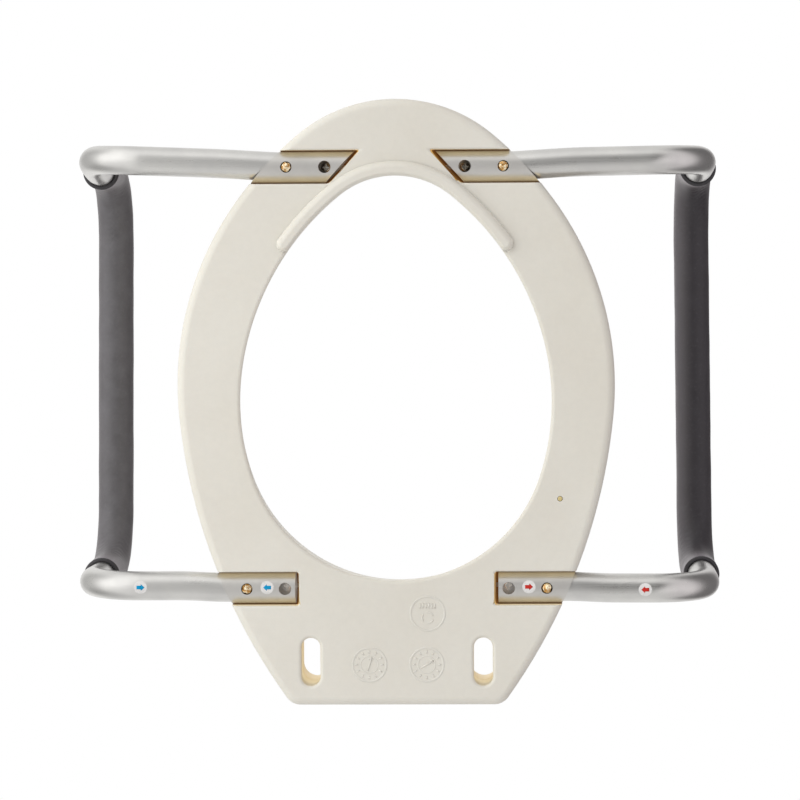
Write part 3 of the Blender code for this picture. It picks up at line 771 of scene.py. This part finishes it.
def make_riser(*skins):
    """The shell. Its skins are the outside, the channel walls, the channel ends and the slot walls."""
    shell = loft("riser_shell", outer_rings(), skins)
    tools = [loft("hole_tool", hole_rings())]
    for side, sign in SIDES:
        tools += [channel_tool(f"{end}_{side}_channel_tool", sign, end) for end in ENDS]
        tools.append(slot_tool(f"{side}_slot_tool", sign * BOLT_SPACING / 2))
    cut(shell, tools)
    cut(shell, [loft("rib_tool", rib_rings())], "UNION")
    pin_r, screw_top = 0.0022, 0.048
    low, high = (*PLUG_PLACE, BASE_Z - 0.002), (*PLUG_PLACE, BASE_Z + 0.005)
    tools = [rod("pin_tool", pin_r, low, high, 32)]
    for _, sign in SIDES:
        for end in ENDS:
            place = (sign * SCREW_X[end], ARM_Y[end])
            tools.append(rod("screw_tool", SCREW_HOLE_R, (*place, ARM_Z), (*place, screw_top), 32))
    cut(shell, tools)
    soften(shell, 0.0006, 3)
    for polygon in shell.data.polygons:
        corners = [shell.data.vertices[i].co for i in polygon.vertices]
        if in_channel(polygon.center, corners):
            polygon.material_index = 2 if abs(polygon.normal.x) > 0.5 else 1
        elif in_slot(polygon.center) and BASE_Z + 0.002 < polygon.center.z < TOP_Z - 0.002:
            polygon.material_index = 3
        else:
            polygon.material_index = 0
    settle(shell, "riser", ["seat_riser_shell"])


def make_plug(skin):
    """A short pin with a rounded, slightly dished face."""
    steps = [(0.0, 0.0040), (0.0019, 0.0038), (0.0019, 0.0004), (0.0017, 0.0001)]
    steps += [(0.0012, -0.0002), (0.0006, -0.0001), (0.0, 0.0002)]
    profile = [(radius, BASE_Z + height) for radius, height in steps]
    turned("blow_pin_dimple", profile, PLUG_PLACE, 32, (skin,), body="riser",
           slot="plug_plastic", replaces=["blow_pin_plug"])


# ---- sleeves ----
def make_sleeve(side, sign, end, metal, inside):
    """A tube whose inner end follows the channel's and whose outer end follows the riser's edge."""
    y = ARM_Y[end]
    label = f"{end}_{side}"
    reach, far_x, bore_x = 0.020, sign * 0.180, (sign * 0.015, sign * 0.190)
    below, above = -0.01, 0.05
    near, far = [], []
    for i in range(96):
        angle = 2 * math.pi * (i + 0.5) / 96
        side_y = y + SLEEVE_R * math.cos(angle)
        z = ARM_Z + SLEEVE_R * math.sin(angle)
        near.append((sign * channel_end(end, side_y, -SLEEVE_END_GAP), side_y, z))
        far.append((far_x, side_y, z))
    sleeve = loft(f"{label}_sleeve_tube", [near, far], (metal, inside))
    rim = [closed_outline(outline_arcs(), OUTLINE_STEPS, -RIM_GAP, z) for z in (below, above)]
    cut(sleeve, [loft("rim_tool", rim)], "INTERSECT")
    tools = [rod("bore_tool", SLEEVE_BORE_R, *[(x, y, ARM_Z) for x in bore_x], 96)]
    for x, radius, low, high in (
        (SCREW_X[end], ACCESS_R, ARM_Z - reach, ARM_Z),
        (BUTTON_X[end], BUTTON_HOLE_R, ARM_Z - reach, ARM_Z),
        (SCREW_X[end], SCREW_HOLE_R, ARM_Z, ARM_Z + reach),
    ):
        tools.append(rod("hole_tool", radius, (sign * x, y, low), (sign * x, y, high), 48))
    cut(sleeve, tools)
    soften(sleeve, 0.00030, 2, 40.0)
    for polygon in sleeve.data.polygons:
        from_axis = math.hypot(polygon.center.y - y, polygon.center.z - ARM_Z)
        polygon.material_index = 1 if from_axis < SLEEVE_BORE_R + 0.0001 else 0
    settle(sleeve, "riser", [f"{label}_sleeve"])


def make_screw(side, sign, end, steel):
    """A threaded screw with a pan head that points down and a cross recess."""
    place = (sign * SCREW_X[end], ARM_Y[end])
    thread_top, thread_end, pitch = 0.0439, 0.0345, 0.0012
    profile = [(0.0, 0.0469), (0.0006, 0.0465), (SCREW_SHANK_R, thread_top)]
    z = thread_top
    while z > thread_end:
        profile += [(SCREW_SHANK_R, z), (SCREW_ROOT_R, z - 0.0004)]
        profile += [(SCREW_ROOT_R, z - 0.0006), (SCREW_SHANK_R, z - 0.0010)]
        z -= pitch
    profile += [(SCREW_SHANK_R, SCREW_SEAT_Z), (SCREW_HEAD_R, SCREW_SEAT_Z)]
    profile += [(SCREW_HEAD_R, SCREW_HEAD_Z + 0.0011)]
    profile += [(0.0037, SCREW_HEAD_Z + 0.0005), (0.0030, SCREW_HEAD_Z + 0.0001)]
    profile += [(0.0018, SCREW_HEAD_Z), (0.0, SCREW_HEAD_Z)]
    screw = turned(f"{end}_{side}_pan_screw", profile, place, 40, (steel,))
    tools = []
    recess_width, recess_length, recess_height = 0.0010, 0.0042, 0.0024
    for width, length in ((recess_width, recess_length), (recess_length, recess_width)):
        bm = bmesh.new()
        bmesh.ops.create_cube(bm, size=1.0)
        bmesh.ops.scale(bm, vec=(width, length, recess_height), verts=bm.verts)
        bmesh.ops.translate(bm, vec=(*place, SCREW_HEAD_Z), verts=bm.verts)
        tools.append(finish_mesh("recess_tool", bm, ()))
    cut(screw, tools)
    soften(screw, 0.00008, 1, 40.0)
    settle(screw, "riser", [f"{end}_{side}_sleeve_screw"])


# ---- stickers ----
def wrap_point(place, tube_r, x, y, lift):
    """A point of the flat sticker pressed round the underside of a tube along X.

    The place is the sticker's x, the tube axis y and the sticker's shift round the tube."""
    angle = (y + place[2]) / tube_r
    reach = tube_r + lift
    return (place[0] + x, place[1] + reach * math.sin(angle), ARM_Z - reach * math.cos(angle))


def wrapped_shape(name, rings, place, tube_r, low, high, material, body, replaces=()):
    """A thin plate wrapped on a tube: rings of flat points shrinking to one in the middle."""
    bm = bmesh.new()
    rims = []
    for lift in (low, high):
        rows = []
        for ring in rings:
            rows.append([bm.verts.new(wrap_point(place, tube_r, x, y, lift)) for x, y in ring])
        centre = bm.verts.new(wrap_point(place, tube_r, 0.0, 0.0, lift))
        for outer, inner in zip(rows, rows[1:]):
            bridge(bm, outer, inner)
        fan(bm, rows[-1], centre)
        rims.append(rows[0])
    bridge(bm, *rims)
    return finish_mesh(name, bm, (material,), body=body, slot="sticker_vinyl", replaces=replaces)


def make_sticker(name, place, tube_r, node, body, vinyl, ink, points_right):
    """A round vinyl disc with a printed arrow along the tube."""
    disc = [circle_points((0.0, 0.0), STICKER_R * share, 48) for share in (1.0, 0.97, 0.75, 0.5, 0.25)]
    wrapped_shape(f"{name}_disc", disc, place, tube_r, 0.00005, 0.00022, vinyl, body, [node])
    way = 1 if points_right else -1
    tip, neck, tail, barb, shaft = 0.0033, 0.0003, -0.0032, 0.00265, 0.00145
    corners = [(tip, 0.0), (neck, barb), (neck, shaft), (tail, shaft)]
    corners += [(tail, -shaft), (neck, -shaft), (neck, -barb)]
    edge = []
    for (x0, y0), (x1, y1) in zip(corners, corners[1:] + corners[:1]):
        edge += [(x0 + (x1 - x0) * i / 4, y0 + (y1 - y0) * i / 4) for i in range(4)]
    rings = [[(way * x * share, way * y * share) for x, y in edge] for share in (1.0, 0.6, 0.3)]
    wrapped_shape(f"{name}_arrow", rings, place, tube_r, 0.00018, 0.00026, ink, body)


# ---- handles ----
def quarter_bend(centre, start, end, radius, steps):
    points = []
    for i in range(steps + 1):
        angle = math.pi / 2 * i / steps
        mix = Vector(start) * math.cos(angle) + Vector(end) * math.sin(angle)
        points.append(Vector(centre) + radius * mix)
    return points


def straight(start, end, steps):
    return [start.lerp(end, i / steps) for i in range(1, steps)]


def top_bends(sign):
    """Centre, start and end direction of the two bends that the grip covers."""
    z = GRIP_Z - TOP_BEND_R
    front = ((sign * LEG_X["front"], FRONT_Y + TOP_BEND_R, z), FORWARD, UP)
    rear = ((sign * LEG_X["rear"], REAR_Y - TOP_BEND_R, z), UP, REARWARD)
    return front, rear


def handle_path(sign):
    """Centreline from the front inner end, out, up, back over the grip, down and in again."""
    out = (sign, 0.0, 0.0)
    inner, low = {}, {}
    for end in ENDS:
        inner[end] = Vector((sign * (BUTTON_X[end] - TUBE_PAST_BUTTON), ARM_Y[end], ARM_Z))
        low[end] = (sign * (LEG_X[end] - LOW_BEND_R), ARM_Y[end], ARM_Z + LOW_BEND_R)
    bends = [(*bend, TOP_BEND_R) for bend in top_bends(sign)]
    bends = [(low["front"], DOWN, out, LOW_BEND_R), *bends, (low["rear"], out, DOWN, LOW_BEND_R)]
    points = [inner["front"]]
    for centre, start, end, radius in bends:
        arc = quarter_bend(centre, start, end, radius, 20)
        points += straight(points[-1], arc[0], 22) + arc
    points += straight(points[-1], inner["rear"], 22) + [inner["rear"]]
    return leaned(points)


def smoothstep(value, low, high):
    share = min(1.0, max(0.0, (value - low) / (high - low)))
    return share * share * (3.0 - 2.0 * share)


def leaned(points):
    """Beyond its sleeve each arm sits a little forward or back; its leg returns to the grip."""
    moved = []
    for point in points:
        end = "front" if point.y < 0 else "rear"
        arm = end + ("_left" if point.x < 0 else "_right")
        start = LEAN_START_X[end]
        step = LEAN_STEP[arm] * smoothstep(abs(point.x), start, start + LEAN_RUN[end])
        slope = LEAN_SLOPE[arm] * max(0.0, abs(point.x) - start)
        share = 1.0 - smoothstep(point.z, LEAN_FULL_Z, LEAN_END_Z)
        moved.append(point - Vector((0.0, (step + slope) * share, 0.0)))
    return moved


def grip_path(sign):
    """The same centreline, only where the foam covers it."""
    rims = [Vector((sign * LEG_X[end], ARM_Y[end], FOAM_START_Z)) for end in ENDS]
    points = [rims[0]]
    for centre, start, end in top_bends(sign):
        arc = quarter_bend(centre, start, end, TOP_BEND_R, 60)
        count = max(4, int((arc[0] - points[-1]).length / 0.0016))
        points += straight(points[-1], arc[0], count) + arc
    return points + straight(points[-1], rims[1], 24) + [rims[1]]


def frames_along(points):
    """Point, side and up at each point, carried along with no twist from a side that faces rearward."""
    frames = []
    forward = (points[1] - points[0]).normalized()
    side = Vector(REARWARD)
    last = len(points) - 1
    for i, point in enumerate(points):
        ahead = (points[min(last, i + 1)] - points[max(0, i - 1)]).normalized()
        side = forward.rotation_difference(ahead) @ side
        side = (side - ahead * side.dot(ahead)).normalized()
        forward = ahead
        frames.append((point, side, ahead.cross(side)))
    return frames


def sweep(points, radius_at, bore_r, sides):
    """A hollow tube along points; radius_at(distance, length, point, direction) is the outside."""
    frames = frames_along(points)
    lengths = [0.0]
    for a, b in zip(points, points[1:]):
        lengths.append(lengths[-1] + (b - a).length)
    turns = [2 * math.pi * k / sides for k in range(sides)]
    outside, bore = [], []
    for length, (point, side, up) in zip(lengths, frames):
        ways = [side * math.cos(turn) + up * math.sin(turn) for turn in turns]
        outside.append([point + way * radius_at(length, lengths[-1], point, way) for way in ways])
        bore.append([point + way * bore_r for way in ways])
    bm = bmesh.new()
    rows = [[bm.verts.new(p) for p in ring] for ring in outside + bore[::-1]]
    for a, b in zip(rows, rows[1:] + rows[:1]):
        bridge(bm, a, b)
    return bm


def make_handle_tube(side, sign, metal):
    bm = sweep(handle_path(sign), lambda *_: TUBE_R, TUBE_BORE_R, 64)
    tube = finish_mesh(f"{side}_arm_tube", bm, (metal,))
    tools = []
    for end in ENDS:
        x, y = sign * BUTTON_X[end], ARM_Y[end]
        tools.append(rod("hole_tool", BUTTON_HOLE_R, (x, y, ARM_Z - 0.02), (x, y, ARM_Z), 48))
    cut(tube, tools)
    soften(tube, 0.0002, 2, 40.0)
    settle(tube, f"{side}_handle", [f"{side}_handle_tube"])


def make_grip(side, sign, foam):
    """A foam sleeve with crumpled folds inside its bends and softly rounded ends."""
    centres = [Vector(centre) for centre, _, _ in top_bends(sign)]
    seed = Vector((3.1 * sign, 7.7, 1.3))
    clearance, end_round, unevenness = 0.00035, 0.0016, 0.00022
    fold_length, fold_depth, fold_swell, fade_run = 0.0068, 0.0007, 0.0003, 0.030

    def folds(along, point, direction):
        """How much the folds on the inner side of the bends change the radius."""
        change = 0.0
        for centre in centres:
            toward = centre - point
            if toward.length > TOP_BEND_R * 1.9:
                continue
            inward = max(0.0, direction.dot(toward.normalized()))
            fade = max(0.0, 1.0 - abs(toward.length - TOP_BEND_R) / fade_run)
            warp = noise.noise(point * 24.0 + direction * 2.1 + seed)
            crest = abs(math.sin(math.pi * (along / fold_length + 1.9 * warp))) ** 0.45
            patch = max(0.0, 0.35 + 1.3 * noise.noise(point * 38.0 + direction * 1.3 - seed))
            change -= fold_depth * (1.0 - crest) * inward**1.2 * fade * min(1.0, patch)
            change += fold_swell * inward * fade
        return change

    def radius_at(along, total, point, direction):
        edge = min(along, total - along)
        radius = FOAM_R - clearance
        if edge < end_round:
            radius -= end_round - math.sqrt(max(0.0, end_round**2 - (end_round - edge) ** 2))
        radius += unevenness * noise.noise(point * 55.0 + direction * 1.2 + seed)
        return min(radius + folds(along, point, direction), FOAM_R)

    bm = sweep(grip_path(sign), radius_at, FOAM_BORE_R, 72)
    grip = finish_mesh(f"{side}_foam_grip", bm, (foam,))
    settle(grip, f"{side}_handle", [f"{side}_grip"])


# ---- snap buttons and springs ----
def make_button(side, sign, end, brass):
    """A domed pin pointing down, with a thin flange inside the tube."""
    stands_out, dome = 0.0010, 0.0028
    tip = ARM_Z - SLEEVE_R - stands_out
    flange_r, flange_low, flange_top, edge = 0.0051, 0.0130, 0.0140, 0.0002
    profile = [(0.0, flange_top), (flange_r - edge, flange_top), (flange_r, flange_top - edge)]
    profile += [(flange_r, flange_low + edge), (flange_r - edge, flange_low)]
    profile.append((BUTTON_R, flange_low - 0.0001))
    for i in range(13):
        angle = math.pi / 2 * i / 13
        profile.append((BUTTON_R * math.cos(angle), tip + dome * (1 - math.sin(angle))))
    profile.append((0.0, tip))
    place = (sign * BUTTON_X[end], ARM_Y[end])
    turned(f"{end}_{side}_button_pin", profile, place, 48, (brass,), body=f"{end}_{side}_button",
           slot="button_brass", replaces=[f"{end}_{side}_snap_button"])


def make_spring(side, sign, end, steel):
    """A folded leaf: its lower arm carries the button and its upper arm rests on the tube."""
    bend_r, fold_x = 0.0035, 0.028
    low_z, high_z = 0.0147, 0.0294
    fold_z = (low_z + high_z) / 2
    line = [(-0.004, low_z), (0.0, low_z), (0.005, low_z)]
    line += arc_points((fold_x, fold_z), bend_r, 17, -math.pi / 2, math.pi)
    line += [(0.010, high_z - 0.0012), (-0.004, high_z)]
    half, thick = 0.0035, 0.0003
    x, y = sign * BUTTON_X[end], ARM_Y[end]
    rings = []
    for i, (reach, z) in enumerate(line):
        before, after = line[max(0, i - 1)], line[min(len(line) - 1, i + 1)]
        run = Vector((after[0] - before[0], after[1] - before[1])).normalized()
        nx, nz = -run.y * thick, run.x * thick
        ring = []
        for across, lift in ((-half, 1), (half, 1), (half, -1), (-half, -1)):
            ring.append((x + sign * (reach + nx * lift), y + across, z + nz * lift))
        rings.append(ring)
    spring = loft(f"{end}_{side}_leaf", rings, (steel,), smooth=False)
    soften(spring, 0.0001, 2, 40.0)
    settle(spring, f"{side}_handle", [f"{end}_{side}_snap_spring"])
    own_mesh(spring)


# ---- moulded circles on the underside ----
def raised_line(bm, points, width, height, closed=False):
    """A low rounded ridge standing down from the base face along flat points."""
    count = len(points)
    sunk, shoulder = -0.00015, height * 0.8
    section = ((-1, sunk), (-0.55, shoulder), (0, height), (0.55, shoulder), (1, sunk))
    rows = []
    for i, (x, y) in enumerate(points):
        if closed:
            before, after = points[i - 1], points[(i + 1) % count]
        else:
            before, after = points[max(0, i - 1)], points[min(count - 1, i + 1)]
        run = Vector((after[0] - before[0], after[1] - before[1])).normalized()
        row = []
        for across, drop in section:
            px, py = x - run.y * width / 2 * across, y + run.x * width / 2 * across
            row.append(bm.verts.new((px, py, BASE_Z - drop)))
        rows.append(row)
    for a, b in zip(rows, rows[1:] + rows[:1] if closed else rows[1:]):
        bridge(bm, a, b)
    if not closed:
        bm.faces.new(rows[0])
        bm.faces.new(rows[-1][::-1])


def dial_mark(name, centre, pointer, skin):
    """A plain moulded dial: two rings, tick marks between them and a pointer."""
    ring_r, inner_r, ticks = 0.0136, 0.0070, (0.0092, 0.0116)
    tip_r, tail_r, barb_length, barb_turn = 0.0062, -0.0052, 0.0026, 2.5
    bm = bmesh.new()
    raised_line(bm, circle_points(centre, ring_r), MARK_RING_WIDTH, MARK_RING_HEIGHT, closed=True)
    raised_line(bm, circle_points(centre, inner_r, 48), 0.0012, 0.00022, closed=True)
    for i in range(12):
        tick = [around(centre, radius, 2 * math.pi * i / 12) for radius in ticks]
        raised_line(bm, tick, 0.0015, 0.00035)
    tip, tail = around(centre, tip_r, pointer), around(centre, tail_r, pointer)
    raised_line(bm, [tail, tip], 0.0018, 0.0005)
    for turn in (barb_turn, -barb_turn):
        raised_line(bm, [around(tip, barb_length, pointer + turn), tip], 0.0014, 0.00035)
    finish_mesh(name, bm, (skin,), body="riser", slot="ivory_plastic")


def bar_mark(name, centre, skin):
    """A plain moulded circle with a row of short bars and three curved strokes."""
    ring_r, first_x, pitch, bar_y = 0.0138, -0.0060, 0.0024, (-0.0082, -0.0040)
    hub_y, stroke_r, stroke_start, stroke_turn = 0.0035, 0.0045, 0.35, 1.35
    bm = bmesh.new()
    raised_line(bm, circle_points(centre, ring_r), MARK_RING_WIDTH, MARK_RING_HEIGHT, closed=True)
    for i in range(6):
        x = centre[0] + first_x + pitch * i
        raised_line(bm, [(x, centre[1] + y) for y in bar_y], 0.0014, 0.0004)
    hub = (centre[0], centre[1] + hub_y)
    for i in range(3):
        stroke = arc_points(hub, stroke_r, 14, 2 * math.pi * i / 3 + stroke_start, stroke_turn)
        raised_line(bm, stroke, 0.0017, 0.0004)
    finish_mesh(name, bm, (skin,), body="riser", slot="ivory_plastic")


# ---- build ----
def recess(start, turn, pale, dark, tint):
    """Painted glow and painted shade inside a recess; where the glow starts and the shade turns dark is
    in height above the base face.
    """
    heights = {"start": [BASE_Z + z for z in start], "turn": [BASE_Z + z for z in turn]}
    return {**heights, "pale": pale, "dark": dark, "tint": tint}


def riser_skins():
    """Outside, channel walls, channel ends and slot walls, in the order make_riser expects."""
    # Painted light in the channels, their blind ends and the slots: a warm painted glow and painted
    # shade for light soaking through the plastic.
    channel = recess((0.0010, 0.0035), (0.0080, 0.0120), (146, 132, 100), (70, 42, 16), (116, 78, 36))
    blind_end = recess((0.0008, 0.0030), (0.0050, 0.0110), (156, 114, 44), (92, 58, 20), (150, 104, 46))
    slot = recess((0.004, 0.030), (0.020, 0.080), (130, 120, 95), (112, 100, 74), (220, 209, 184))
    return (
        plastic_material("ivory_plastic", (227, 224, 214), (223, 219, 208)),
        # The channel, channel-end and slot skins are warmer and darker than the ivory: painted shade of
        # the light coming through the plastic.
        plastic_material("channel_plastic", (226, 218, 196), (222, 212, 188), channel),
        plastic_material("channel_end_plastic", (224, 206, 160), (218, 198, 150), blind_end),
        plastic_material("slot_plastic", (222, 214, 192), (218, 208, 182), slot),
    )


def build_riser():
    skins = riser_skins()
    make_riser(*skins)
    make_plug(plastic_material("plug_plastic", (222, 206, 150), (214, 194, 134)))
    dial_mark("moulded_dial_a", (-0.0224, 0.2122), -1.285, skins[0])
    dial_mark("moulded_dial_b", (0.0240, 0.2122), -0.528, skins[0])
    bar_mark("moulded_circle", (0.0249, 0.1707), skins[0])


def build_arms():
    """Sleeves, screws, buttons, springs, handles and stickers, side by side."""
    sleeve_metal = metal_material("sleeve_aluminium", (214, 212, 208), (205, 203, 199), 0.42)
    tube_metal = metal_material("tube_aluminium", (218, 217, 214), (209, 208, 206), 0.30)
    # Painted light in the sleeve bores: the front bores are painted darker and browner as shade with a
    # faint painted glow, the rear ones keep the sleeve's colour with a stronger painted glow.
    painted_light_bores = {
        "front": metal_material("front_sleeve_bore", (200, 196, 186), (180, 174, 160), 0.42, glow=0.012),
        "rear": metal_material("rear_sleeve_bore", (214, 212, 208), (205, 203, 199), 0.42, glow=0.055),
    }
    brass = brass_material()
    plated = (600.0, 600.0, 90.0)
    steel = metal_material("zinc_steel", (196, 192, 182), (160, 154, 142), 0.20, plated)
    # Painted light: the rear screws take a lighter copy of the steel with a painted glow; the front
    # screws and the springs take the plain steel.
    painted_lit_steel = metal_material("screw_steel", (222, 219, 212), (190, 185, 176), 0.20, plated, 0.15)
    screws = {"front": steel, "rear": painted_lit_steel}
    # Painted light: the left grip takes a lit copy of the foam and the right grip a shaded one, about
    # half as bright.
    painted_lit_foam = ((84, 82, 84), (96, 94, 97), (106, 103, 106))
    painted_shaded_foam = ((39, 35, 40), (47, 43, 48), (74, 70, 75))
    foams = {
        "left": foam_material("grip_foam_left", *painted_lit_foam, -0.2520, 0.10),
        "right": foam_material("grip_foam_right", *painted_shaded_foam, 0.2520, 0.34),
    }
    vinyl = ink_material("sticker_vinyl", (229, 228, 226))
    inks = {
        "left": ink_material("blue_ink", (0, 152, 204)),
        "right": ink_material("red_ink", (200, 48, 38)),
    }
    label_x = {"left": (-0.1050, -0.2080), "right": (0.1070, 0.2010)}
    sleeve_label_shift, lean_x = -0.0012, 0.2046
    for side, sign in SIDES:
        for end in ENDS:
            make_sleeve(side, sign, end, sleeve_metal, painted_light_bores[end])
            make_screw(side, sign, end, screws[end])
            make_button(side, sign, end, brass)
            make_spring(side, sign, end, steel)
        make_handle_tube(side, sign, tube_metal)
        make_grip(side, sign, foams[side])
        sleeve_x, arm_x = label_x[side]
        leaned_y = leaned([Vector((sign * lean_x, REAR_Y, ARM_Z))])[0].y
        make_sticker(f"{side}_sleeve_label", (sleeve_x, REAR_Y, sleeve_label_shift), SLEEVE_R,
                     f"{side}_sleeve_sticker", "riser", vinyl, inks[side], sign > 0)
        make_sticker(f"{side}_arm_label", (arm_x, leaned_y, 0.0), TUBE_R,
                     f"{side}_tube_sticker", f"{side}_handle", vinyl, inks[side], sign < 0)


make_camera()
make_world()
area_light("key", (-1.8, -0.7, -1.0), (0, 0, 0.08), 2.2, 13)
area_light("top_key", (-0.6, -0.7, 2.2), (0, 0, 0.05), 1.4, 24)
make_floor()
bpy.context.scene.view_settings.view_transform = "Standard"
build_riser()
build_arms()
